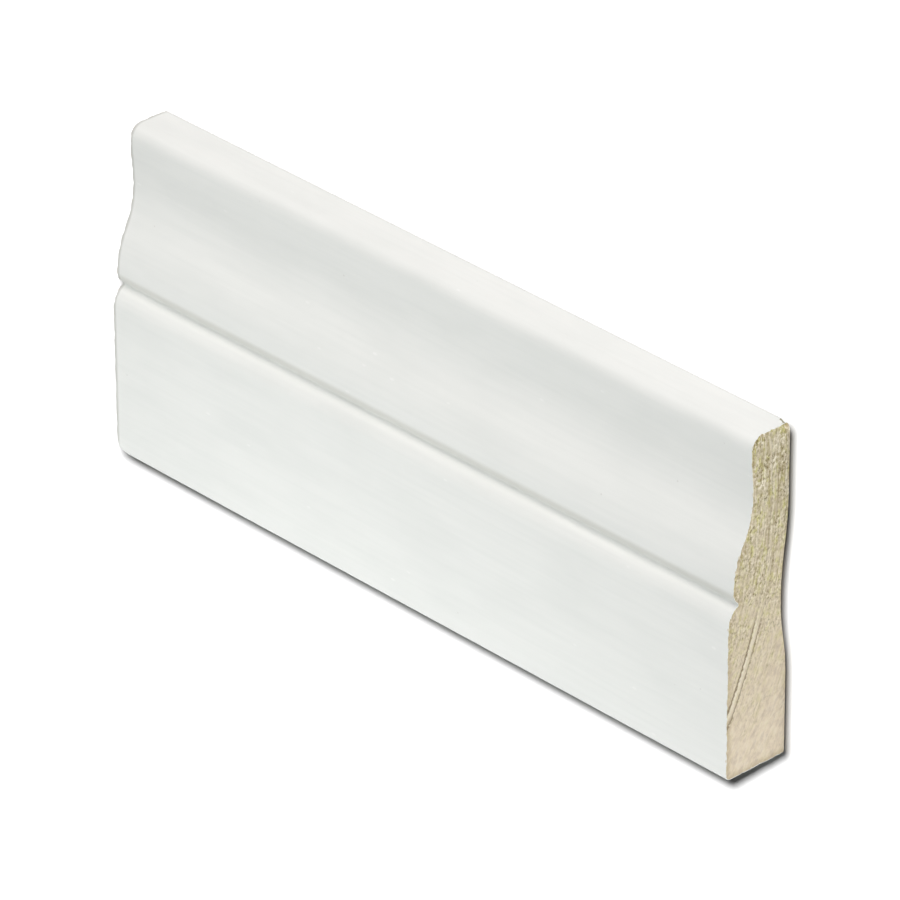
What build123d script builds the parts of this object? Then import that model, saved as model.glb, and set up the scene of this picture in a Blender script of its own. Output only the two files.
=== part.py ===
"""Cover strip: a short length of painted pine moulding, lying on its back with its face up."""

import os

from build123d import *

# Stock sizes, in millimetres
length = 170.0
width = 70.0
thickness = 15.0

# Face, across the width from the thick edge: flat, shoulder, quirk, bulge, then the hollow
flat_width = 32.4
shoulder_width = 4.2
bulge_width = 2.8

# Depths below the flat face
quirk_depth = 3.05
bulge_depth = 1.15
hollow_depth = 5.8
nose_depth = 5.4

# Thin edge
hollow_to_thin_edge = 12.5
nose_radius = 3.0

# Back: a land along each edge and a shallow hollow between them, deepest nearer the thick edge
thick_land_width = 16.8
thin_land_width = 14.0
relief_depth = 1.6
relief_place = 33.5

# Rounds of the planed arrises and of the quirk's bottom
quirk_radius = 0.5
face_arris_radius = 1.0
back_arris_radius = 0.6

# Turning points of the section, as (distance from the thick edge, height above the lands)
shoulder = (flat_width, thickness)
quirk = (shoulder[0] + shoulder_width, thickness - quirk_depth)
bulge = (quirk[0] + bulge_width, thickness - bulge_depth)
hollow = (width - hollow_to_thin_edge, thickness - hollow_depth)
nose = (width - nose_radius, thickness - nose_depth)
thin_edge_top = (width, nose[1] - nose_radius)
thin_edge_foot = (width, 0)
thin_land_end = (width - thin_land_width, 0)
relief = (relief_place, relief_depth)
thick_land_end = (thick_land_width, 0)
thick_edge_foot = (0, 0)
thick_edge_top = (0, thickness)

toward_thin_edge = (1, 0)


def ease(start, end):
    """Draws two equal tangent arcs, an S that leaves start and reaches end along the width."""
    middle = ((start[0] + end[0]) / 2, (start[1] + end[1]) / 2)
    first_arc = TangentArc(start, middle, tangent=(end[0] - start[0], 0))
    TangentArc(middle, end, tangent=first_arc % 1)


# The section stands on the sawn end, with its own origin at the foot of the thick edge
sawn_end = Plane(origin=(-length / 2, -width / 2, 0), x_dir=(0, 1, 0), z_dir=(1, 0, 0))

with BuildPart() as cover_strip:
    with BuildSketch(sawn_end) as section:
        with BuildLine():
            # Painted face, from the thick edge to the thin edge
            Line(thick_edge_top, shoulder)
            TangentArc(shoulder, quirk, tangent=toward_thin_edge)
            TangentArc(bulge, quirk, tangent=(-bulge_width, 0))
            ease(bulge, hollow)
            ease(hollow, nose)
            TangentArc(nose, thin_edge_top, tangent=toward_thin_edge)
            Line(thin_edge_top, thin_edge_foot)
            # Bare back, from the thin edge to the thick edge
            Line(thin_edge_foot, thin_land_end)
            ease(thin_land_end, relief)
            ease(relief, thick_land_end)
            Line(thick_land_end, thick_edge_foot)
            Line(thick_edge_foot, thick_edge_top)
        make_face()
        for corner, radius in (
            (quirk, quirk_radius),
            (thick_edge_top, face_arris_radius),
            (thick_edge_foot, back_arris_radius),
            (thin_edge_foot, back_arris_radius),
        ):
            fillet(section.vertices().sort_by_distance(corner)[0], radius)
    extrude(amount=length)

cover_strip.part.label = "cover_strip"

os.makedirs("parts", exist_ok=True)
export_step(cover_strip.part, "parts/cover_strip.step")
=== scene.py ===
"""Dresses the cover strip: a short length of white painted pine moulding, lying face up on a pale floor.

Sizes of the strip and its finishes are in millimetres, those of the studio in metres, and angles in degrees.
"""

import logging
import math
from dataclasses import dataclass, field
from enum import Enum
from functools import partial

import bpy
from mathutils import Matrix, Vector


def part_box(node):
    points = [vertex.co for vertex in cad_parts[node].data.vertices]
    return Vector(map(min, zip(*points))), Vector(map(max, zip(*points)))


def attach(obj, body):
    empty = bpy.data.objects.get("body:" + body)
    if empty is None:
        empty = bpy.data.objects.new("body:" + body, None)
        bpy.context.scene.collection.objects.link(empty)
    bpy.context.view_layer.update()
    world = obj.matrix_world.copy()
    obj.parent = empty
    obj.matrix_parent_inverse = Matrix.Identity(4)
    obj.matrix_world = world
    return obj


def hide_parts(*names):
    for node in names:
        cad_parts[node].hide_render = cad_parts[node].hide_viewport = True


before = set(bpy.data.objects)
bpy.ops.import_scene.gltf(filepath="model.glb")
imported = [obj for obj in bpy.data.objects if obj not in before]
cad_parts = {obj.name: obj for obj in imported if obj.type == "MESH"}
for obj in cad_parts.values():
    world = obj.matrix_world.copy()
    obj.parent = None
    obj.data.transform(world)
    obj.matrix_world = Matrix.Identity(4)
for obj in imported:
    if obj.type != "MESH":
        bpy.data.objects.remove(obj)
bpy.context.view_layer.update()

log = logging.getLogger("cover_strip")

MM = 0.001
QUARTER_TURN = math.pi / 2
NODE_NAME = "cover_strip"

# Attributes of the strip's points: where each stood in the lattice, and how deep it lies under the paint
LATTICE_PLACE = "lattice"
UNDER_PAINT = "under_paint"

# The types of node that are used most
MATH = "ShaderNodeMath"
VECTOR = "ShaderNodeVectorMath"
RANGE = "ShaderNodeMapRange"
MIX = "ShaderNodeMix"
NOISE = "ShaderNodeTexNoise"
SPLIT = "ShaderNodeSeparateXYZ"
JOIN = "ShaderNodeCombineXYZ"
STORE = "GeometryNodeStoreNamedAttribute"
RECALL = "GeometryNodeInputNamedAttribute"

# The setting with which a range starts and stops gently
EASED = {"interpolation_type": "SMOOTHSTEP"}

Point = tuple[float, float]
Tree = bpy.types.NodeTree
Socket = bpy.types.NodeSocket
Layers = list[tuple[Socket, str]]


class Region(Enum):
    """Parts of the strip's surface with a finish of their own, by the attribute that marks their faces."""

    SAWN_END = "sawn_end"
    BARE_BACK = "bare_back"


class Lit(Enum):
    """What a lamp lights."""

    STRIP = "lit strip"
    FLOOR = "lit floor"


def linear(colour: str) -> tuple[float, float, float, float]:
    """Turns an sRGB hex colour into linear values.

    Args:
        colour: Colour such as "#EDEEEA".

    Returns:
        Linear red, green, blue and an alpha of 1.
    """
    parts = [int(colour[i:i + 2], 16) / 255 for i in (1, 3, 5)]
    values = [p / 12.92 if p <= 0.04045 else ((p + 0.055) / 1.055) ** 2.4 for p in parts]
    return (*values, 1.0)


def add_node(tree: Tree, kind: str, feeds: dict | list | None = None, operation: str | None = None,
             **settings: object) -> Socket:
    """Adds one node to a tree, with its settings and what feeds it.

    Args:
        tree: Tree that gets the node.
        kind: Blender's name for the type of node.
        feeds: Output sockets or plain values for its inputs, in their order or by name or number.
        operation: What a node of arithmetic does.
        settings: Values of the node's other properties, by name.

    Returns:
        The first output that is in use, or None for a node with no output.
    """
    node = tree.nodes.new(kind)
    if operation:
        node.operation = operation
    for name, value in settings.items():
        setattr(node, name, value)
    pairs = feeds.items() if isinstance(feeds, dict) else enumerate(feeds or [])
    for key, value in pairs:
        named = [s for s in node.inputs if s.enabled and s.name == key]
        socket = node.inputs[key] if isinstance(key, int) else named[0]
        if isinstance(value, Socket):
            tree.links.new(value, socket)
        else:
            socket.default_value = value
    return next((s for s in node.outputs if s.enabled), None)


def stretched_noise(tree: Tree, place: Socket, grain: tuple[float, float, float], feeds: dict,
                    **settings: object) -> Socket:
    """Adds a noise whose grains have a size of their own along each axis.

    Args:
        tree: Tree that gets the noise.
        place: Place in millimetres.
        grain: Size of a grain along each axis, in millimetres.
        feeds: What else goes into the noise.
        settings: Values of the noise's own properties.

    Returns:
        The noise.
    """
    drawn = add_node(tree, VECTOR, [place, [1 / size for size in grain]], "MULTIPLY")
    return add_node(tree, NOISE, {"Vector": drawn, "Scale": 1.0, **feeds}, **settings)


def seen_directly(tree: Tree) -> Socket:
    """Tells what the camera sees, straight or in a shine, from light that bounces.

    Args:
        tree: Tree of a material or of the world.

    Returns:
        1 for what is seen, 0 for light that bounces.
    """
    path = add_node(tree, "ShaderNodeLightPath").node.outputs
    seen = path["Is Camera Ray"]
    for ray in ("Is Glossy Ray", "Is Transmission Ray"):
        seen = add_node(tree, MATH, [seen, path[ray]], "MAXIMUM")
    return seen


def start_material(name: str) -> tuple[bpy.types.Material, Tree, Socket]:
    """Makes an empty material whose patterns are laid out in millimetres.

    Args:
        name: The material's name.

    Returns:
        The material, its node tree, and the place on the piece in millimetres.
    """
    material = bpy.data.materials.new(name)
    material.use_nodes = True
    tree = material.node_tree
    tree.nodes.clear()
    coordinates = add_node(tree, "ShaderNodeTexCoord").node.outputs["Object"]
    place = add_node(tree, VECTOR, {"Vector": coordinates, "Scale": 1 / MM}, "SCALE")
    return material, tree, place


def end_material(tree: Tree, base: str, layers: Layers, looks: dict, relief: dict) -> None:
    """Lays a material's colours over each other and gives it a shader, with a relief too fine for the mesh.

    Args:
        tree: Tree of the material.
        base: The colour underneath.
        layers: How much of each further colour shows, and the colour itself, from the lowest up.
        looks: What else feeds the shader, such as its roughness.
        relief: What feeds the bump: strength, distance and height.
    """
    colour = linear(base)
    for share, tint in layers:
        colour = add_node(tree, MIX, {"Factor": share, "A": colour, "B": linear(tint)}, data_type="RGBA")
    bump = add_node(tree, "ShaderNodeBump", relief)
    shader = add_node(tree, "ShaderNodeBsdfPrincipled", {"Base Color": colour, "Normal": bump, **looks})
    add_node(tree, "ShaderNodeOutputMaterial", {"Surface": shader})


@dataclass(frozen=True)
class StripSection:
    """Section of the strip in millimetres: distances from the thick edge, heights above the back lands."""

    width: float
    thickness: float
    flat_width: float = 32.4
    shoulder_width: float = 4.2
    bulge_width: float = 2.8
    quirk_depth: float = 3.05
    bulge_depth: float = 1.15
    hollow_depth: float = 5.8
    nose_depth: float = 5.4
    hollow_to_thin_edge: float = 12.5
    nose_radius: float = 3.0
    thick_land_width: float = 16.8
    thin_land_width: float = 14.0
    relief_depth: float = 1.6
    relief_place: float = 33.5
    quirk_radius: float = 0.5
    face_arris_radius: float = 1.0
    back_arris_radius: float = 0.6
    arris_steps: int = 7
    flat_steps: int = 44
    shoulder_steps: int = 14
    quirk_steps: int = 8
    bulge_steps: int = 10
    slope_steps: int = 12
    rise_steps: int = 5
    nose_steps: int = 14

    @staticmethod
    def arc(centre: Point, radius: float, start: float, end: float, steps: int) -> list[Point]:
        """Gives points along an arc, from its start to its end.

        Args:
            centre: Centre of the arc.
            radius: Its radius.
            start: Angle at the start, in radians.
            end: Angle at the end, in radians.
            steps: Number of equal steps.

        Returns:
            One point more than there are steps.
        """
        angles = [start + (end - start) * i / steps for i in range(steps + 1)]
        return [(centre[0] + radius * math.cos(a), centre[1] + radius * math.sin(a)) for a in angles]

    @classmethod
    def ease(cls, start: Point, end: Point, steps: int) -> list[Point]:
        """Gives points along an S of two equal arcs that leaves start and reaches end along the width.

        Args:
            start: First point.
            end: Last point.
            steps: Number of steps in each of the two arcs.

        Returns:
            The points, with both ends.
        """
        run, drop = end[0] - start[0], start[1] - end[1]
        radius = (run ** 2 + drop ** 2) / (4 * abs(drop))
        turn = math.asin(run / 2 / radius)
        way = math.copysign(1.0, drop)
        leaving = (start[0], start[1] - way * radius)
        reaching = (end[0], end[1] + way * radius)
        first = cls.arc(leaving, radius, way * QUARTER_TURN, way * (QUARTER_TURN - turn), steps)
        second = cls.arc(reaching, radius, -way * (QUARTER_TURN + turn), -way * QUARTER_TURN, steps)
        return first + second[1:]

    def quirk_foot(self) -> Point:
        """Gives the place where the shoulder and the bulge would meet."""
        return self.flat_width + self.shoulder_width, self.thickness - self.quirk_depth

    def face_line(self) -> list[Point]:
        """Gives the painted outline from the thick edge over flat, quirk, bulge and hollow to the thin edge.

        Returns:
            Points that lie closer where the outline turns tightly.
        """
        top = self.thickness
        arris = self.face_arris_radius
        quirk = self.quirk_foot()
        bulge = (quirk[0] + self.bulge_width, top - self.bulge_depth)
        hollow = (self.width - self.hollow_to_thin_edge, top - self.hollow_depth)
        nose = (self.width - self.nose_radius, top - self.nose_depth)
        nose_centre = (nose[0], nose[1] - self.nose_radius)

        # The quirk is the valley between two rounds, with a small round of its own that touches both
        shoulder_radius = (self.shoulder_width ** 2 + self.quirk_depth ** 2) / (2 * self.quirk_depth)
        bulge_rise = bulge[1] - quirk[1]
        bulge_radius = (self.bulge_width ** 2 + bulge_rise ** 2) / (2 * bulge_rise)
        shoulder_centre = Vector((self.flat_width, top - shoulder_radius))
        bulge_centre = Vector((bulge[0], bulge[1] - bulge_radius))
        between = bulge_centre - shoulder_centre
        to_shoulder = shoulder_radius + self.quirk_radius
        to_bulge = bulge_radius + self.quirk_radius
        along = (to_shoulder ** 2 - to_bulge ** 2 + between.length_squared) / (2 * between.length)
        rise = math.sqrt(to_shoulder ** 2 - along ** 2)
        unit = between.normalized()
        valley = shoulder_centre + along * unit + rise * Vector((-unit.y, unit.x))
        leave, meet = [math.atan2(*(valley - centre).yx) for centre in (shoulder_centre, bulge_centre)]

        flat_run = self.flat_width - arris
        runs = [
            self.arc((arris, top - arris), arris, math.pi, QUARTER_TURN, self.arris_steps),
            [(arris + flat_run * i / self.flat_steps, top) for i in range(self.flat_steps + 1)],
            self.arc(tuple(shoulder_centre), shoulder_radius, QUARTER_TURN, leave, self.shoulder_steps),
            self.arc(tuple(valley), self.quirk_radius, leave - math.pi, meet - math.pi, self.quirk_steps),
            self.arc(tuple(bulge_centre), bulge_radius, meet, QUARTER_TURN, self.bulge_steps),
            self.ease(bulge, hollow, self.slope_steps),
            self.ease(hollow, nose, self.rise_steps),
            self.arc(nose_centre, self.nose_radius, QUARTER_TURN, 0.0, self.nose_steps),
        ]
        return runs[0] + [p for run in runs[1:] for p in run[1:]]

    def back_height(self, across: float) -> float:
        """Gives the height of the back above the lands.

        Args:
            across: Distance from the thick edge.

        Returns:
            Height in millimetres.
        """
        arris = self.back_arris_radius
        into_arris = max(arris - across, across - (self.width - arris), 0.0)
        if into_arris > 0:
            return arris - math.sqrt(max(arris ** 2 - into_arris ** 2, 0.0))
        foot = self.thick_land_width if across < self.relief_place else self.width - self.thin_land_width
        run = abs(self.relief_place - foot)
        climbed = run - abs(across - self.relief_place)
        if climbed <= 0:
            return 0.0
        radius = (run ** 2 + self.relief_depth ** 2) / (4 * self.relief_depth)
        bend = radius - math.sqrt(radius ** 2 - min(climbed, run - climbed) ** 2)
        return bend if climbed < run / 2 else self.relief_depth - bend


@dataclass(frozen=True)
class GrowthRings:
    """Growth rings of the board, in millimetres: circles about a pith that lies out in front of the face."""

    pith_across: float = 23.0
    pith_height: float = 103.0
    lean: float = 0.9
    spacing: float = 1.25
    wobble: float = 1.0
    wobble_length: float = 160.0
    wobble_width: float = 22.0
    palest_year: float = 0.25

    def draw(self, tree: Tree, place: Socket) -> dict[str, Socket]:
        """Draws the rings in a tree, the same in a material as in the relief of the ends.

        Args:
            tree: Material or geometry tree.
            place: Place on the piece, in millimetres.

        Returns:
            The ring distance, a place that follows the rings, and how dark the late wood is.
        """
        add = partial(add_node, tree)
        pith = (0.0, self.pith_across, self.pith_height)
        lean = math.radians(self.lean)
        turned = add("ShaderNodeVectorRotate", {"Vector": place, "Center": pith,
                                                "Rotation": (0.0, lean, -lean)}, rotation_type="EULER_XYZ")
        from_pith = add(VECTOR, [turned, pith], "SUBTRACT")
        apart = add(SPLIT, [from_pith]).node.outputs
        flat = add(VECTOR, [from_pith, (0.0, 1.0, 1.0)], "MULTIPLY")
        distance = add(VECTOR, [flat], "LENGTH")
        sway = stretched_noise(tree, place, (self.wobble_length, self.wobble_width, self.wobble_width),
                               {"Detail": 2.0})
        swayed = add(MATH, [sway, self.wobble, -self.wobble / 2], "MULTIPLY_ADD")
        ring = add(MATH, [distance, swayed], "ADD")
        away = add(MATH, [apart["Z"], -1.0], "MULTIPLY")
        angle = add(MATH, [apart["Y"], away], "ARCTAN2")
        arc = add(MATH, [angle, self.pith_height], "MULTIPLY")
        along_rings = add(JOIN, {"X": apart["X"], "Y": arc, "Z": ring})

        # Each year's wood darkens slowly and stops at a sharp line, and no two years are alike
        years = add(MATH, [ring, self.spacing], "DIVIDE")
        season = add(MATH, [years], "FRACT")
        year = add(MATH, [years], "FLOOR")
        luck = add("ShaderNodeTexWhiteNoise", {"W": year}, noise_dimensions="1D")
        strength = add(RANGE, {"Value": luck.node.outputs["Value"], "To Min": self.palest_year})
        darkening = add(RANGE, {"Value": season, "From Min": 0.35, "From Max": 0.88}, **EASED)
        ending = add(RANGE, {"Value": season, "From Min": 0.92, "To Min": 1.0, "To Max": 0.0}, **EASED)
        band = add(MATH, [darkening, ending], "MULTIPLY")
        late = add(MATH, [band, strength], "MULTIPLY")
        return {"ring": ring, "along_rings": along_rings, "late": late}


@dataclass(frozen=True)
class SatinPaint:
    """Satin white paint, sprayed on planed pine at the mill.

    It gives an even, slightly cool white with a soft sheen. Faint streaks run along the strip where the
    planed grain shows through, with a few specks of dust, painted shade in the quirk, a grey line of painted
    shade along the back arrises and the left end, and bare wood where the saw tore the coat at the ends.
    """

    white: str = "#F3F5F1"
    streak: str = "#E9ECE8"
    dust: str = "#D6D6D0"
    nib: str = "#FDFEFB"
    # Colour of the painted shade in the quirk
    quirk_shade: str = "#C9C8BD"
    torn: str = "#D3C6A4"
    # Colour of the painted shade along the back arrises and the left end
    edge_shade: str = "#B4B3AC"
    chipped: str = "#95927A"
    roughness: float = 0.52
    ior: float = 1.5
    streak_length: float = 26.0
    streak_width: float = 0.9
    streak_share: float = 0.32
    cloud_length: float = 24.0
    cloud_width: float = 9.0
    cloud_share: float = 0.55
    dust_spacing: float = 7.0
    dust_radius: float = 0.24
    nib_spacing: float = 4.6
    nib_radius: float = 0.30
    nib_stretch: float = 2.4
    speck_core: float = 0.6
    speck_share: float = 0.5
    # Place, reach and strength of the painted shade in the quirk
    quirk_shade_place: Point = (1.3, 1.5)
    quirk_shade_reach: float = 1.9
    quirk_shade_share: float = 0.44
    bites_per_mm: float = 1.1
    tear_reach: float = 0.35
    # Reach and strength of the painted shade along the back arrises and the left end
    edge_shade_height: float = 1.0
    edge_shade_height_share: float = 0.3
    edge_shade_length: float = 0.9
    edge_shade_length_share: float = 0.65
    chip_length: float = 2.3
    chip_width: float = 2.5
    chip_height: float = 1.3
    peel_size: float = 0.55
    peel_share: float = 0.5
    peel_depth: float = 0.04

    def make(self, half_length: float, half_width: float, quirk: Point) -> bpy.types.Material:
        """Makes the material.

        Args:
            half_length: From the middle of the strip to an end, in millimetres.
            half_width: From the middle of the strip to an edge, in millimetres.
            quirk: Place of the quirk's foot across the strip and its height, in millimetres.

        Returns:
            The paint.
        """
        material, tree, place = start_material("satin white paint on pine")
        add = partial(add_node, tree)
        layers = []
        streaks, clouds = [stretched_noise(tree, place, (length, width, width), {"Detail": 3.0})
                           for length, width in ((self.streak_length, self.streak_width),
                                                 (self.cloud_length, self.cloud_width))]
        for pattern, share in ((streaks, self.streak_share), (clouds, self.cloud_share)):
            shown = add(RANGE, {"Value": pattern, "From Min": 0.42, "From Max": 0.74, "To Max": share})
            layers.append((shown, self.streak))

        # Specks of dust, and pale nibs drawn out along the strip
        for spacing, radius, stretch, tint in (
                (self.dust_spacing, self.dust_radius, 1.0, self.dust),
                (self.nib_spacing, self.nib_radius, self.nib_stretch, self.nib)):
            spread = add(VECTOR, [place, (1 / stretch, 1.0, 1.0)], "MULTIPLY")
            dots = add("ShaderNodeTexVoronoi", {"Vector": spread, "Scale": 1 / spacing})
            reach = radius / spacing
            fill = add(RANGE, {"Value": dots, "From Min": reach * self.speck_core, "From Max": reach,
                               "To Min": self.speck_share, "To Max": 0.0})
            layers.append((fill, tint))

        # Painted shade in the quirk: a darker band on the side of the bulge, where shade falls
        middle = (0.0, quirk[0] + self.quirk_shade_place[0], quirk[1] + self.quirk_shade_place[1])
        off_quirk = add(VECTOR, [place, middle], "SUBTRACT")
        in_section = add(VECTOR, [off_quirk, (0.0, 1.0, 1.0)], "MULTIPLY")
        from_quirk = add(VECTOR, [in_section], "LENGTH")
        quirk_shade_amount = add(RANGE, {"Value": from_quirk, "From Min": self.quirk_shade_reach / 3,
                             "From Max": self.quirk_shade_reach, "To Min": self.quirk_shade_share,
                             "To Max": 0.0}, **EASED)
        layers.append((quirk_shade_amount, self.quirk_shade))

        # Bare wood in small bites along the saw cuts
        spot = add(SPLIT, [place]).node.outputs
        from_middle = add(MATH, [spot["X"]], "ABSOLUTE")
        to_cut = add(MATH, [half_length, from_middle], "SUBTRACT")
        bites = add(NOISE, {"Vector": place, "Scale": self.bites_per_mm, "Detail": 3.0})
        bitten = add(RANGE, {"Value": bites, "From Min": 0.5, "From Max": 0.75, "To Max": self.tear_reach})
        bare = add(MATH, [to_cut, bitten], "LESS_THAN")
        layers.append((bare, self.torn))

        # Painted shade as a grey line along the back arrises and the left end; the coat is gone from the
        # chipped back corner
        from_left = add(MATH, [spot["X"], half_length], "ADD")
        for distance, reach, share in ((spot["Z"], self.edge_shade_height, self.edge_shade_height_share),
                                       (from_left, self.edge_shade_length, self.edge_shade_length_share)):
            thin = add(RANGE, {"Value": distance, "From Min": reach / 3, "From Max": reach, "To Min": share,
                               "To Max": 0.0})
            layers.append((thin, self.edge_shade))
        off_corner = add(VECTOR, [place, (half_length, half_width, 0.0)], "SUBTRACT")
        chip = (1 / self.chip_length, 1 / self.chip_width, 1 / self.chip_height)
        squashed = add(VECTOR, [off_corner, chip], "MULTIPLY")
        from_corner = add(VECTOR, [squashed], "LENGTH")
        edge = add(RANGE, {"Value": bites, "From Min": 0.3, "From Max": 0.7, "To Min": 0.8, "To Max": 1.3})
        chipped = add(MATH, [from_corner, edge], "LESS_THAN")
        layers.append((chipped, self.chipped))

        peel = add(NOISE, {"Vector": place, "Scale": 1 / self.peel_size, "Detail": 2.0})
        height = add(MATH, [peel, self.peel_share, streaks], "MULTIPLY_ADD")
        end_material(tree, self.white, layers, {"Roughness": self.roughness, "IOR": self.ior},
                     {"Strength": 0.08, "Distance": self.peel_depth * MM, "Height": height})
        return material


@dataclass(frozen=True)
class SawnPine:
    """Pine end grain as a fine saw leaves it.

    The rings show as fine broken lines, with torn fibres between them: olive and coarse towards the thin
    edge, pale and smooth towards the thick edge, and one strong double ring that runs out through the face.
    """

    rings: GrowthRings
    smooth: str = "#ECDCC4"
    coarse: str = "#CCC09F"
    margin: str = "#B9A67E"
    late: str = "#A4956A"
    greyed: str = "#BFAE9C"
    yellowed: str = "#D3CE86"
    dark_fleck: str = "#776A40"
    pale_fleck: str = "#F8F0DC"
    shake: str = "#6E5A3A"
    paint: str = "#F3F5F1"
    roughness: float = 0.85
    ior: float = 1.45
    drifts_per_mm: float = 0.22
    drift_reach: float = 16.0
    smooth_until: float = -20.0
    coarse_from: float = 30.0
    fleck_width: float = 0.46
    fleck_length: float = 0.7
    fleck_depth: float = 0.12
    patch_width: float = 1.1
    patch_length: float = 2.4
    hair_width: float = 0.34
    hair_length: float = 7.0
    mottle_width: float = 0.9
    mottle_length: float = 1.3
    shake_ring: float = 100.15
    shake_gap: float = 1.55
    shake_ragged: float = 0.9
    shake_strong_until: float = -6.5
    shake_faint_from: float = -1.0
    margin_reach: float = 1.8
    margin_share: float = 0.6
    coat: float = 0.10

    def make(self) -> bpy.types.Material:
        """Makes the material.

        Returns:
            The end grain.
        """
        material, tree, place = start_material("sawn pine end grain")
        add = partial(add_node, tree)
        grain = self.rings.draw(tree, place)
        across = add(SPLIT, [place]).node.outputs["Y"]
        drift = add(NOISE, {"Vector": place, "Scale": self.drifts_per_mm, "Detail": 2.0})
        blurred = add(MATH, [drift, self.drift_reach, across], "MULTIPLY_ADD")
        torn = add(RANGE, {"Value": blurred, "From Min": self.smooth_until, "From Max": self.coarse_from})
        depth = add("ShaderNodeAttribute", attribute_name=UNDER_PAINT).node.outputs["Fac"]
        at_margin = add(RANGE, {"Value": depth, "From Max": self.margin_reach, "To Min": self.margin_share,
                                "To Max": 0.0}, **EASED)
        layers = [(torn, self.coarse), (at_margin, self.margin)]

        # Torn fibres, patches, hairs and mottle, all longer along the rings than across them
        flecks, patches, hairs, mottle = [
            stretched_noise(tree, grain["along_rings"], (1.0, length, width),
                            {"Detail": detail, "Roughness": 0.6})
            for width, length, detail in ((self.fleck_width, self.fleck_length, 3.0),
                                          (self.patch_width, self.patch_length, 2.0),
                                          (self.hair_width, self.hair_length, 2.0),
                                          (self.mottle_width, self.mottle_length, 3.0))]
        broken = add(RANGE, {"Value": patches, "From Min": 0.35, "From Max": 0.6})
        late_share = add(RANGE, {"Value": torn, "To Min": 0.06, "To Max": 0.85})
        late = add(MATH, [grain["late"], late_share], "MULTIPLY")
        late_seen = add(MATH, [late, broken], "MULTIPLY")
        layers.append((late_seen, self.late))
        contrast = add(RANGE, {"Value": torn, "To Min": 0.1})
        in_drifts = add(RANGE, {"Value": drift, "From Min": 0.35, "From Max": 0.6, "To Min": 0.4,
                                "To Max": 1.1})
        rough = add(MATH, [contrast, in_drifts], "MULTIPLY")
        for pattern, begins, full, tint, share, where in (
                (mottle, 0.5, 0.32, self.greyed, 0.55, 0.6),
                (mottle, 0.5, 0.68, self.pale_fleck, 0.5, 0.6),
                (patches, 0.48, 0.32, self.greyed, 0.75, 0.5),
                (patches, 0.51, 0.66, self.yellowed, 0.8, contrast),
                (hairs, 0.46, 0.32, self.late, 0.9, contrast),
                (hairs, 0.55, 0.68, self.pale_fleck, 0.6, contrast),
                (flecks, 0.47, 0.33, self.dark_fleck, 0.9, rough),
                (flecks, 0.53, 0.67, self.pale_fleck, 0.9, rough)):
            amount = add(RANGE, {"Value": pattern, "From Min": begins, "From Max": full, "To Max": share})
            shown = add(MATH, [amount, where], "MULTIPLY")
            layers.append((shown, tint))

        # The strong double ring with the cream wood between its lines, fainter towards the thin edge
        fade = add(RANGE, {"Value": across, "From Min": self.shake_strong_until,
                           "From Max": self.shake_faint_from, "To Min": 1.0, "To Max": 0.3}, **EASED)
        ragged = add(MATH, [flecks, self.shake_ragged, grain["ring"]], "MULTIPLY_ADD")
        middle = self.shake_ring + self.shake_ragged / 2
        for beyond, half_width, tint, share in (
                (0.0, 0.17, self.shake, 0.75),
                (0.6, 0.24, self.pale_fleck, 0.55),
                (self.shake_gap, 0.14, self.shake, 0.6)):
            off = add(MATH, [ragged, middle + beyond], "SUBTRACT")
            size = add(MATH, [off], "ABSOLUTE")
            line = add(RANGE, {"Value": size, "From Min": half_width * 2, "From Max": half_width * 0.4,
                               "To Max": share}, **EASED)
            shown = add(MATH, [line, fade], "MULTIPLY")
            layers.append((shown, tint))

        # The coat of paint shows its own thickness as a thin uneven line along the face and edges
        uneven = add(NOISE, {"Vector": place, "Scale": 1.4, "Detail": 2.0})
        limit = add(MATH, [uneven, self.coat * 2], "MULTIPLY")
        painted = add(MATH, [depth, limit], "LESS_THAN")
        layers.append((painted, self.paint))

        height = add(MATH, [flecks, contrast], "MULTIPLY")
        end_material(tree, self.smooth, layers, {"Roughness": self.roughness, "IOR": self.ior},
                     {"Strength": 0.5, "Distance": self.fleck_depth * MM, "Height": height})
        return material


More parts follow.
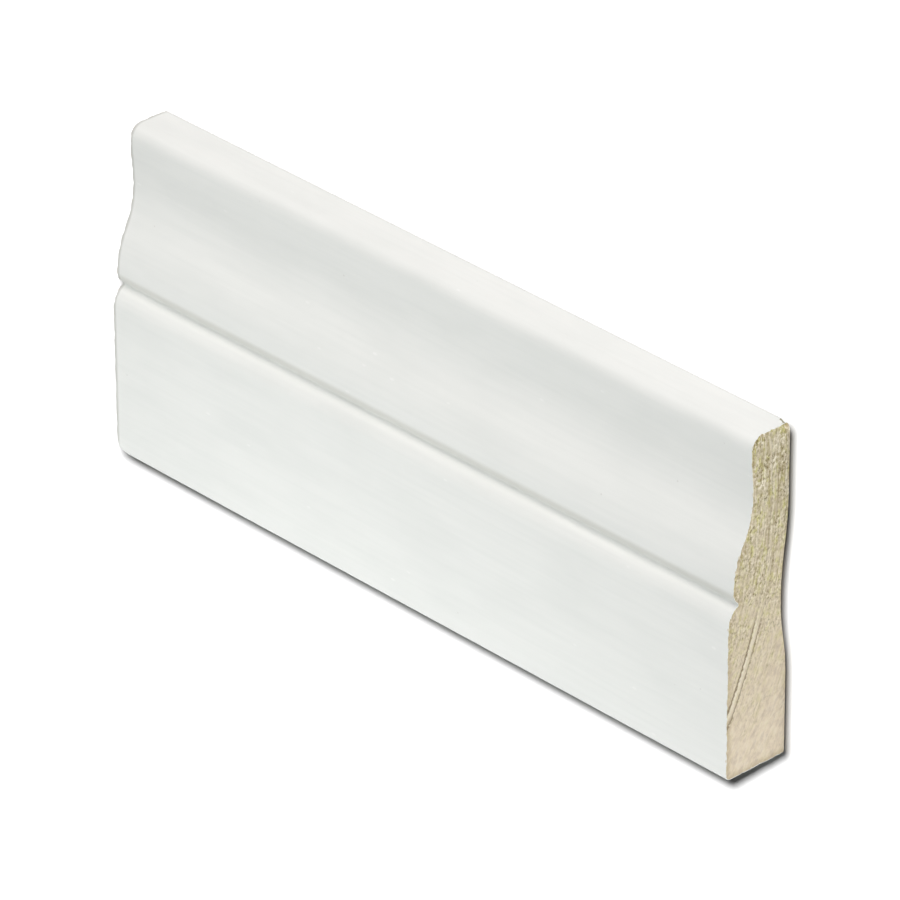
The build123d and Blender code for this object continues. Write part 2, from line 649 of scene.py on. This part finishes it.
@dataclass(frozen=True)
class PlanedPine:
    """Bare pine as the planer leaves it, on the back of the strip.

    The same rings run out as long straight grain, with fine fibres, faint cross ripples from the cutter and
    a dusting of overspray along both edges.
    """

    rings: GrowthRings
    early: str = "#E6D3AB"
    late: str = "#C9A26B"
    fibre: str = "#D6BC8C"
    overspray: str = "#EFF0EC"
    roughness: float = 0.62
    ior: float = 1.45
    fibre_length: float = 26.0
    fibre_width: float = 0.45
    fibre_share: float = 0.7
    mist_per_mm: float = 0.35
    mist_least: float = 0.4
    mist_most: float = 2.6
    cutter_step: float = 1.8
    cutter_share: float = 0.4
    cutter_depth: float = 0.06

    def make(self, half_width: float) -> bpy.types.Material:
        """Makes the material.

        Args:
            half_width: From the middle of the strip to an edge, in millimetres.

        Returns:
            The planed wood.
        """
        material, tree, place = start_material("planed bare pine")
        add = partial(add_node, tree)
        grain = self.rings.draw(tree, place)
        fibres = stretched_noise(tree, place, (self.fibre_length, self.fibre_width, self.fibre_width),
                                 {"Detail": 3.0})
        fine = add(RANGE, {"Value": fibres, "From Min": 0.45, "From Max": 0.75, "To Max": self.fibre_share})

        across = add(SPLIT, [place]).node.outputs["Y"]
        from_middle = add(MATH, [across], "ABSOLUTE")
        to_edge = add(MATH, [half_width, from_middle], "SUBTRACT")
        mist = add(NOISE, {"Vector": place, "Scale": self.mist_per_mm, "Detail": 4.0})
        reach = add(RANGE, {"Value": mist, "From Min": 0.35, "From Max": 0.75, "To Min": self.mist_least,
                            "To Max": self.mist_most})
        share = add(MATH, [to_edge, reach], "DIVIDE")
        dusting = add(RANGE, {"Value": share, "From Min": 0.6, "From Max": 1.2, "To Min": 1.0,
                              "To Max": 0.0}, **EASED)

        # The ridges of a wave are pi / 10 apart at a scale of 1
        ripple = add("ShaderNodeTexWave", {"Vector": place, "Scale": math.pi / 10 / self.cutter_step,
                                           "Distortion": 0.6}, wave_type="BANDS", bands_direction="X")
        height = add(MATH, [ripple, self.cutter_share, fibres], "MULTIPLY_ADD")
        layers = [(grain["late"], self.late), (fine, self.fibre), (dusting, self.overspray)]
        end_material(tree, self.early, layers, {"Roughness": self.roughness, "IOR": self.ior},
                     {"Strength": 0.25, "Distance": self.cutter_depth * MM, "Height": height})
        return material


@dataclass(frozen=True)
class KnockedCorner:
    """A corner that wear has taken off, in millimetres. Its end and edge are 1 or -1 along each axis."""

    end: int
    edge: int
    height: float
    radius: float
    times_taller: float
    depth: float


@dataclass
class PaintedStrip:
    """The strip itself: its section ruled along its length, with a worn saw cut at each end."""

    section: StripSection
    length: float
    rings: GrowthRings = field(default_factory=GrowthRings)
    stations_along: int = 121
    stations_through: int = 45
    end_crowding: float = 0.82
    saw_depth: float = 0.10
    tear_depth: float = 0.40
    tear_reach: float = 1.0
    fuzz_per_mm: float = 0.9
    bites_per_mm: float = 1.1
    streak_depth: float = 0.006
    streak_length: float = 60.0
    streak_width: float = 1.1
    knocks: tuple[KnockedCorner, ...] = (KnockedCorner(1, 1, 0.6, 1.9, 1.0, 0.7),
                                         KnockedCorner(-1, -1, 7.5, 3.4, 6.0, 0.9))
    across_share: float = 0.6
    sharp_bend: float = 40.0
    cut_tolerance: float = 0.001
    seed: float = 5.0

    def outline(self, name: str, points: list[Point]) -> bpy.types.Object:
        """Makes a curve of points across the strip.

        Args:
            name: Name of the curve.
            points: Distances from the thick edge and heights, in millimetres.

        Returns:
            The curve's object.
        """
        curve = bpy.data.curves.new(name, "CURVE")
        curve.dimensions = "3D"
        spline = curve.splines.new("POLY")
        spline.points.add(len(points) - 1)
        for target, (across, height) in zip(spline.points, points):
            target.co = (0.0, (across - self.section.width / 2) * MM, height * MM, 1.0)
        holder = bpy.data.objects.new(name, curve)
        bpy.context.collection.objects.link(holder)
        return holder

    def sweep_tree(self, inputs: dict[str, str]) -> Tree:
        """Builds the tree that rules the section along the length and wears its surface, only ever inwards.

        Args:
            inputs: Type of socket for each named input.

        Returns:
            The tree.
        """
        tree = bpy.data.node_groups.new("ruled strip", "GeometryNodeTree")
        for name, kind in inputs.items():
            tree.interface.new_socket(name=name, in_out="INPUT", socket_type=f"NodeSocket{kind}")
        tree.interface.new_socket(name="Strip", in_out="OUTPUT", socket_type="NodeSocketGeometry")
        add = partial(add_node, tree)
        given = add("NodeGroupInput").node.outputs

        # A lattice from -0.5 to 0.5 each way, whose sides become the face, the back, the edges and the ends
        lattice = add("GeometryNodeMeshCube", {"Vertices X": given["Stations Along"],
                                               "Vertices Y": given["Stations Across"],
                                               "Vertices Z": given["Stations Through"]})
        facing = add(SPLIT, [add("GeometryNodeInputNormal")]).node.outputs
        to_an_end = add(MATH, [facing["X"]], "ABSOLUTE")
        is_end = add(MATH, [to_an_end, 0.5], "GREATER_THAN")
        is_back = add(MATH, [facing["Z"], -0.5], "LESS_THAN")
        marked = lattice
        for region, marks in ((Region.SAWN_END, is_end), (Region.BARE_BACK, is_back)):
            marked = add(STORE, {"Geometry": marked, "Name": region.value, "Value": marks},
                         data_type="BOOLEAN", domain="FACE")
        position = add("GeometryNodeInputPosition")
        kept = add(STORE, {"Geometry": marked, "Name": LATTICE_PLACE, "Value": position},
                   data_type="FLOAT_VECTOR", domain="POINT")
        stood = add(RECALL, {"Name": LATTICE_PLACE}, data_type="FLOAT_VECTOR")
        step = add(SPLIT, [stood]).node.outputs

        # Each row of the lattice takes its back and face points from the two outlines
        last = add(MATH, [given["Stations Across"], 1.0], "SUBTRACT")
        row = add(RANGE, {"Value": step["Y"], "From Min": -0.5, "From Max": 0.5, "To Max": last})
        index = add("FunctionNodeFloatToInt", [row], rounding_mode="ROUND")
        ends_of_row = []
        for name in ("Back Outline", "Face Outline"):
            source = add("GeometryNodeObjectInfo", {"Object": given[name]}).node.outputs["Geometry"]
            ends_of_row.append(add("GeometryNodeSampleIndex",
                                   {"Geometry": source, "Value": position, "Index": index},
                                   data_type="FLOAT_VECTOR", domain="POINT"))
        back, face = ends_of_row
        up = add(MATH, [step["Z"], 0.5], "ADD")
        ruled = add(MIX, {"Factor": up, "A": back, "B": face}, data_type="VECTOR")

        # Rows stand closer together near the ends, where the saw cut has its detail
        swing = add(MATH, [step["X"], math.pi], "MULTIPLY")
        bunched = add(MATH, [swing], "SINE")
        half = add(MATH, [bunched, 0.5], "MULTIPLY")
        along = add(MIX, {"Factor": given["End Crowding"], "A": step["X"], "B": half}, data_type="FLOAT")
        length_at = add(MATH, [along, given["Length"]], "MULTIPLY")
        ruled_at = add(SPLIT, [ruled]).node.outputs
        target = add(JOIN, {"X": length_at, "Y": ruled_at["Y"], "Z": ruled_at["Z"]})
        swept = add("GeometryNodeSetPosition", {"Geometry": kept, "Position": target})
        self.dress(tree, given, self.wear(tree, given, swept, position, step, face))
        return tree

    def wear(self, tree: Tree, given: bpy.types.NodeOutputs, swept: Socket, position: Socket,
             step: bpy.types.NodeOutputs, face: Socket) -> Socket:
        """Adds the relief of paint and saw cut to the swept strip.

        Args:
            tree: The tree so far.
            given: Its named inputs.
            swept: The swept strip.
            position: The place of each point.
            step: Where each point stood in the lattice.
            face: The point of the face's outline above each point.

        Returns:
            The worn strip.
        """
        add = partial(add_node, tree)
        place = add(VECTOR, {"Vector": position, "Scale": 1 / MM}, "SCALE")
        spot = add(SPLIT, [place]).node.outputs
        side = add(MATH, [step["X"]], "SIGN")
        from_middle = add(MATH, [spot["X"]], "ABSOLUTE")
        half_length = add(MATH, [given["Length"], 0.5 / MM], "MULTIPLY")
        to_cut = add(MATH, [half_length, from_middle], "SUBTRACT")

        # How deep a point lies under the painted skin, kept for the end grain's line of paint
        half_width = self.section.width / 2
        from_axis = add(MATH, [spot["Y"]], "ABSOLUTE")
        from_edge = add(MATH, [half_width, from_axis], "SUBTRACT")
        face_height = add(SPLIT, [face]).node.outputs["Z"]
        face_mm = add(MATH, [face_height, MM], "DIVIDE")
        from_face = add(MATH, [face_mm, spot["Z"]], "SUBTRACT")
        depth = add(MATH, [from_face, from_edge], "MINIMUM")
        stored = add(STORE, {"Geometry": swept, "Name": UNDER_PAINT, "Value": depth}, data_type="FLOAT",
                     domain="POINT")

        # Saw cut: late wood stands, early wood is torn a little deeper, and the coat breaks away at its edge
        rings = self.rings.draw(tree, place)
        fuzz, bites = [add(NOISE, {"Vector": place, "W": given["Seed"], "Scale": per_mm, "Detail": 3.0},
                           noise_dimensions="4D") for per_mm in (self.fuzz_per_mm, self.bites_per_mm)]
        early = add(MATH, [1.0, rings["late"]], "SUBTRACT")
        torn = add(MATH, [early, fuzz], "MULTIPLY")
        on_cut = add(MATH, [to_cut, self.cut_tolerance], "LESS_THAN")
        saw = add(MATH, [torn, given["Saw Depth"]], "MULTIPLY")
        saw_here = add(MATH, [saw, on_cut], "MULTIPLY")
        bitten = add(RANGE, {"Value": bites, "From Min": 0.45, "From Max": 0.75,
                             "To Max": given["Tear Depth"]})
        off_rim = add(MATH, [to_cut, depth], "ADD")
        near_rim = add(RANGE, {"Value": off_rim, "From Max": self.tear_reach, "To Min": 1.0, "To Max": 0.0},
                       **EASED)
        tear = add(MATH, [bitten, near_rim], "MULTIPLY")

        # A small chip at the right end's back corner, and the thick edge's left corner knocked round
        back_by = add(MATH, [saw_here, tear], "ADD")
        aside = 0.0
        for knock in self.knocks:
            corner = (knock.end * self.length / 2, knock.edge * half_width, knock.height)
            off = add(VECTOR, [place, corner], "SUBTRACT")
            squashed = add(VECTOR, [off, (1.0, 1.0, 1 / knock.times_taller)], "MULTIPLY")
            reach = add(VECTOR, [squashed], "LENGTH")
            gone = add(RANGE, {"Value": reach, "From Max": knock.radius, "To Min": knock.depth,
                               "To Max": 0.0}, **EASED)
            back_by = add(MATH, [back_by, gone], "ADD")
            aside = add(MATH, [gone, -knock.edge * self.across_share * MM, aside], "MULTIPLY_ADD")
        signed = add(MATH, [back_by, side], "MULTIPLY")
        inward = add(MATH, [signed, -MM], "MULTIPLY")
        from_ends = add(JOIN, {"X": inward, "Y": aside})

        # Paint: shallow streaks along the strip, left by the planer and only half filled by the coat
        streaks = stretched_noise(tree, place, (self.streak_length, self.streak_width, self.streak_width),
                                  {"W": given["Seed"], "Detail": 2.0}, noise_dimensions="4D")
        off_back = add(MATH, [step["Z"], -0.499], "GREATER_THAN")
        deep = add(MATH, [streaks, given["Streak Depth"]], "MULTIPLY")
        deep_here = add(MATH, [deep, off_back], "MULTIPLY")
        down = add(MATH, [deep_here, -MM], "MULTIPLY")
        normal = add("GeometryNodeInputNormal")
        sunk = add(VECTOR, {"Vector": normal, "Scale": down}, "SCALE")
        offset = add(VECTOR, [from_ends, sunk], "ADD")
        return add("GeometryNodeSetPosition", {"Geometry": stored, "Offset": offset})

    def dress(self, tree: Tree, given: bpy.types.NodeOutputs, worn: Socket) -> None:
        """Smooths the worn strip, gives each region its finish and ends the tree.

        Args:
            tree: The tree so far.
            given: Its named inputs.
            worn: The worn strip.
        """
        add = partial(add_node, tree)
        smooth = add("GeometryNodeSetShadeSmooth", [worn], domain="FACE")
        bend = add("GeometryNodeInputMeshEdgeAngle")
        sharp = add(MATH, [bend, math.radians(self.sharp_bend)], "GREATER_THAN")
        creased = add("GeometryNodeSetShadeSmooth", {0: smooth, "Selection": sharp, "Shade Smooth": False},
                      domain="EDGE")
        whole = add("GeometryNodeRealizeInstances", {"Geometry": creased})
        dressed = add("GeometryNodeSetMaterial", {"Geometry": whole, "Material": given["Paint"]})
        for region, finish in ((Region.SAWN_END, "End Grain"), (Region.BARE_BACK, "Planed Back")):
            marks = add(RECALL, {"Name": region.value}, data_type="BOOLEAN")
            dressed = add("GeometryNodeSetMaterial", {"Geometry": dressed, "Selection": marks,
                                                      "Material": given[finish]})
        add("NodeGroupOutput", {"Strip": dressed})

    def build(self) -> bpy.types.Object:
        """Builds the strip's mesh and its finishes.

        Returns:
            The finished piece.
        """
        half_width = self.section.width / 2
        foot = self.section.quirk_foot()
        quirk = (foot[0] - half_width, foot[1])
        line = self.section.face_line()
        underside = [(across, self.section.back_height(across)) for across, _ in line]
        face = self.outline("face outline", line)
        back = self.outline("back outline", underside)
        sizes = {
            "Length": ("Float", self.length * MM),
            "Stations Along": ("Int", self.stations_along),
            "Stations Across": ("Int", len(line)),
            "Stations Through": ("Int", self.stations_through),
            "End Crowding": ("Float", self.end_crowding),
            "Face Outline": ("Object", face),
            "Back Outline": ("Object", back),
            "Saw Depth": ("Float", self.saw_depth),
            "Tear Depth": ("Float", self.tear_depth),
            "Streak Depth": ("Float", self.streak_depth),
            "Seed": ("Float", self.seed),
            "Paint": ("Material", SatinPaint().make(self.length / 2, half_width, quirk)),
            "End Grain": ("Material", SawnPine(self.rings).make()),
            "Planed Back": ("Material", PlanedPine(self.rings).make(half_width)),
        }
        tree = self.sweep_tree({name: kind for name, (kind, _) in sizes.items()})
        sockets = [item for item in tree.interface.items_tree if item.in_out == "INPUT"]
        identifiers = {socket.name: socket.identifier for socket in sockets}

        piece = bpy.data.objects.new("painted_strip", bpy.data.meshes.new("painted_strip_start"))
        bpy.context.collection.objects.link(piece)
        modifier = piece.modifiers.new("ruled strip", "NODES")
        modifier.node_group = tree
        for name, (_, value) in sizes.items():
            modifier[identifiers[name]] = value
        graph = bpy.context.evaluated_depsgraph_get()
        mesh = bpy.data.meshes.new_from_object(piece.evaluated_get(graph), preserve_all_data_layers=True,
                                               depsgraph=graph)
        mesh.name = "painted_strip"
        piece.modifiers.clear()
        piece.data = mesh
        for holder in (face, back):
            curve = holder.data
            bpy.data.objects.remove(holder)
            bpy.data.curves.remove(curve)
        return piece


@dataclass(frozen=True)
class SoftLight:
    """One soft square lamp that points at the strip, and lights either the strip or the floor under it."""

    name: str
    towards: tuple[float, float, float]
    distance: float
    size: float
    level: float
    tint: str = "#FDFFFF"
    lights: Lit = Lit.STRIP

    def place(self) -> Vector:
        """Gives the lamp's place, in metres."""
        return Vector(self.towards).normalized() * self.distance

    def build(self, receivers: dict[Lit, bpy.types.Collection]) -> bpy.types.Object:
        """Places the lamp. Light on the strip is only blocked by the strip itself.

        Args:
            receivers: Collection of what is lit, for each choice.

        Returns:
            The lamp's object.
        """
        lamp = bpy.data.lights.new(self.name, "AREA")
        lamp.shape = "SQUARE"
        lamp.size = self.size
        # A lamp of this power gives a facing surface the wanted level at the strip
        lamp.energy = self.level * math.pi * self.distance ** 2 * math.pi
        lamp.color = linear(self.tint)[:3]
        holder = bpy.data.objects.new(self.name, lamp)
        turned = self.place().to_track_quat("Z", "Y").to_matrix().to_4x4()
        holder.matrix_world = Matrix.Translation(self.place()) @ turned
        holder.visible_camera = False
        holder.light_linking.receiver_collection = receivers[self.lights]
        if self.lights is Lit.STRIP:
            holder.light_linking.blocker_collection = receivers[self.lights]
        bpy.context.collection.objects.link(holder)
        return holder


@dataclass(frozen=True)
class PaleFloor:
    """Plain pale floor, which shows white to the camera and keeps the strip's shadow."""

    half_size: float = 3.0
    drop: float = 0.0002
    grey: str = "#848484"
    seen_white: float = 0.53
    fall_off: float = 3.0

    def build(self, lamp: SoftLight) -> bpy.types.Object:
        """Makes the floor just under the strip.

        Args:
            lamp: The lamp that lights it.

        Returns:
            The floor's object.
        """
        material, tree, place = start_material("matt white studio floor")
        add = partial(add_node, tree)
        # The lamp stands close, so the white that is seen makes up for its light's loss over the distance
        from_lamp = add(VECTOR, [place, lamp.place() / MM], "DISTANCE")
        ratio = add(MATH, [from_lamp, lamp.distance / MM], "DIVIDE")
        loss = add(MATH, [ratio, self.fall_off], "POWER")
        even = add(VECTOR, {"Vector": (self.seen_white,) * 3, "Scale": loss}, "SCALE")
        colour = add(MIX, {"Factor": seen_directly(tree), "A": linear(self.grey), "B": even},
                     data_type="RGBA", clamp_result=False)
        matt = add("ShaderNodeBsdfDiffuse", {"Color": colour})
        add("ShaderNodeOutputMaterial", {"Surface": matt})

        mesh = bpy.data.meshes.new("studio_floor")
        s, z = self.half_size, -self.drop
        mesh.from_pydata([(-s, -s, z), (s, -s, z), (s, s, z), (-s, s, z)], [], [(0, 1, 2, 3)])
        mesh.materials.append(material)
        floor = bpy.data.objects.new("studio_floor", mesh)
        bpy.context.collection.objects.link(floor)
        return floor


@dataclass(frozen=True)
class ShadowFlag:
    """Unseen copy of the strip near the floor's lamp, which gives the floor a soft shadow of even width.

    Its shift is in millimetres, like the strip's own sizes.
    """

    nearer: float = 0.15
    shift: tuple[float, float, float] = (1.35, -0.55, 0.0)

    def build(self, strip: bpy.types.Object, lamp: bpy.types.Object) -> bpy.types.Object:
        """Places the flag.

        Args:
            strip: The piece it copies.
            lamp: The floor's lamp.

        Returns:
            The flag's object.
        """
        flag = bpy.data.objects.new("shadow_flag", strip.data)
        source = Matrix.Translation(lamp.matrix_world.translation)
        towards_lamp = source @ Matrix.Scale(1 - self.nearer, 4) @ source.inverted()
        flag.matrix_world = towards_lamp @ Matrix.Translation(Vector(self.shift) * MM)
        flag.visible_camera = flag.visible_diffuse = flag.visible_glossy = flag.visible_transmission = False
        bpy.context.collection.objects.link(flag)
        lamp.light_linking.blocker_collection = bpy.data.collections.new("shades floor")
        lamp.light_linking.blocker_collection.objects.link(flag)
        return flag


@dataclass(frozen=True)
class Studio:
    """Plain soft light from lamps on every side of the strip, and one more for the floor's shadow."""

    sky: float = 0.03
    lamps: tuple[SoftLight, ...] = (
        SoftLight("thin_edge_lamp", (0.0, 0.97, 0.25), 1.6, 0.6, 0.391, "#FFF9F9"),
        SoftLight("far_right_lamp", (0.2, 0.82, 0.53), 1.6, 0.5, 0.148, "#FFFCFC"),
        SoftLight("far_left_lamp", (-0.55, 0.70, 0.45), 1.6, 0.5, 0.187, "#FFFCFC"),
        SoftLight("overhead_lamp", (0.0, -0.15, 0.99), 1.6, 0.5, 0.195),
        SoftLight("thick_edge_lamp", (0.0, -0.974, 0.225), 0.25, 0.04, 0.222),
        SoftLight("shoulder_lamp", (0.0, -0.78, 0.62), 0.22, 0.05, 0.148),
        SoftLight("face_lamp", (0.0, -0.50, 0.87), 0.2, 0.12, 0.127),
        SoftLight("corner_lamp", (-0.62, -0.45, 0.64), 0.18, 0.10, 0.083),
        SoftLight("right_end_lamp", (0.97, 0.0, 0.25), 1.6, 0.5, 0.50),
        SoftLight("left_end_lamp", (-1.0, 0.0, 0.0), 1.6, 0.5, 0.35),
    )
    floor_lamp: SoftLight = SoftLight("floor_lamp", (0.6289, 0.5085, 0.5881), 1.532, 0.0098, 4.0, "#FFFFFF",
                                      Lit.FLOOR)

    def build(self, strip: bpy.types.Object, floor: bpy.types.Object) -> bpy.types.Object:
        """Makes the world's light and the lamps.

        Args:
            strip: The piece that most of them light.
            floor: The floor, which has a lamp of its own.

        Returns:
            The flag that gives the floor its shadow.
        """
        receivers = {}
        for choice, target in ((Lit.STRIP, strip), (Lit.FLOOR, floor)):
            receivers[choice] = bpy.data.collections.new(choice.value)
            receivers[choice].objects.link(target)
        world = bpy.data.worlds.new("white studio")
        bpy.context.scene.world = world
        world.use_nodes = True
        tree = world.node_tree
        tree.nodes.clear()
        add = partial(add_node, tree)
        strength = add(RANGE, {"Value": seen_directly(tree), "To Min": self.sky})
        light = add("ShaderNodeBackground", {"Strength": strength})
        add("ShaderNodeOutputWorld", {"Surface": light})
        for lamp in self.lamps:
            lamp.build(receivers)
        return ShadowFlag().build(strip, self.floor_lamp.build(receivers))


@dataclass(frozen=True)
class PhotoCamera:
    """Camera at the photograph's viewing angle, with the thin edge towards the top of the picture.

    Its lens and sensor are in millimetres, as lenses are.
    """

    lens: float = 320.0
    sensor: float = 36.0
    aim: tuple[float, float, float] = (0.0025, -0.0021, 0.0070)
    distance: float = 1.5072
    round_from_length: float = 37.64
    above_floor: float = 36.38
    roll: float = -0.257

    def build(self) -> None:
        """Makes the camera and puts it in charge of the scene."""
        turn, rise = math.radians(self.round_from_length), math.radians(self.above_floor)
        back = Vector((math.cos(rise) * math.cos(turn), math.cos(rise) * math.sin(turn), math.sin(rise)))
        right = Vector((0.0, 1.0, 0.0)).cross(back).normalized()
        axes = Matrix((right, back.cross(right), back)).transposed()
        axes = axes @ Matrix.Rotation(math.radians(self.roll), 3, "Z")
        camera = bpy.data.cameras.new("photo_camera")
        camera.sensor_fit = "HORIZONTAL"
        camera.sensor_width = self.sensor
        camera.lens = self.lens
        holder = bpy.data.objects.new("photo_camera", camera)
        holder.matrix_world = Matrix.Translation(Vector(self.aim) + back * self.distance) @ axes.to_4x4()
        bpy.context.collection.objects.link(holder)
        bpy.context.scene.camera = holder


def main() -> None:
    """Builds the strip, the floor, the light and the camera."""
    logging.basicConfig(level=logging.INFO, format="%(name)s: %(message)s")
    bpy.context.scene.view_settings.view_transform = "Standard"

    PhotoCamera().build()
    low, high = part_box(NODE_NAME)
    length, width, thickness = (high - low) / MM
    strip = PaintedStrip(StripSection(width, thickness), length).build()
    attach(strip, "root")
    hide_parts(NODE_NAME)
    strip.data.calc_loop_triangles()
    log.info("painted strip: %d triangles", len(strip.data.loop_triangles))

    studio = Studio()
    floor = PaleFloor().build(studio.floor_lamp)
    log.info("studio floor")
    studio.build(strip, floor)
    log.info("studio light")

    log.info("sizes written")


if __name__ == "__main__":
    main()
